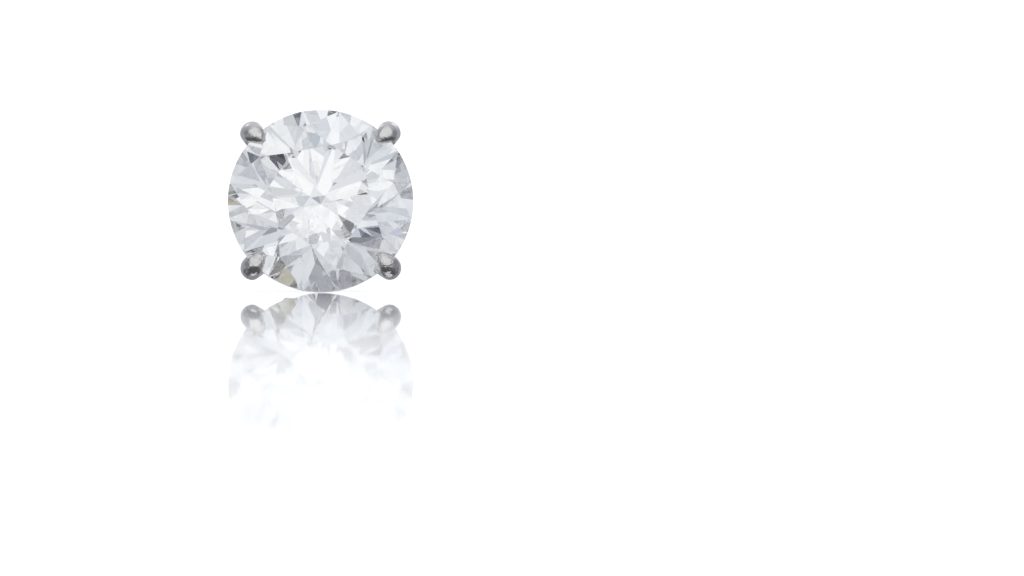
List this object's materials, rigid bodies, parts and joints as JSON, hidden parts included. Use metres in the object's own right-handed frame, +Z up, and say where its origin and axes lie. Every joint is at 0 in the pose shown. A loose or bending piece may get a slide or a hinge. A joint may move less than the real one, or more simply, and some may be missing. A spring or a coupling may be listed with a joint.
{
  "type": "diamond ear stud",
  "caption": "Ear stud with a round brilliant cut stone in a four-claw basket setting, a straight ear post and a friction nut, lying on a surface.",
  "frame": {"origin": "Middle of the bounding box's underside, on the surface that the stud lies on", "axes": "+Z up; the stone's table faces -Y and 12.7 degrees upwards; the ear post runs back along +Y; +X to the right as the stone is looked at"},
  "size_m": [0.0094, 0.0184, 0.0092],
  "materials": {
    "stone": "polished facets, colourless",
    "white_gold": "polished"
  },
  "bodies": {
    "root": {"diamond": "stone", "claw_setting": "white_gold", "ear_post": "white_gold", "ear_nut": "white_gold"}
  },
  "joints": []
}
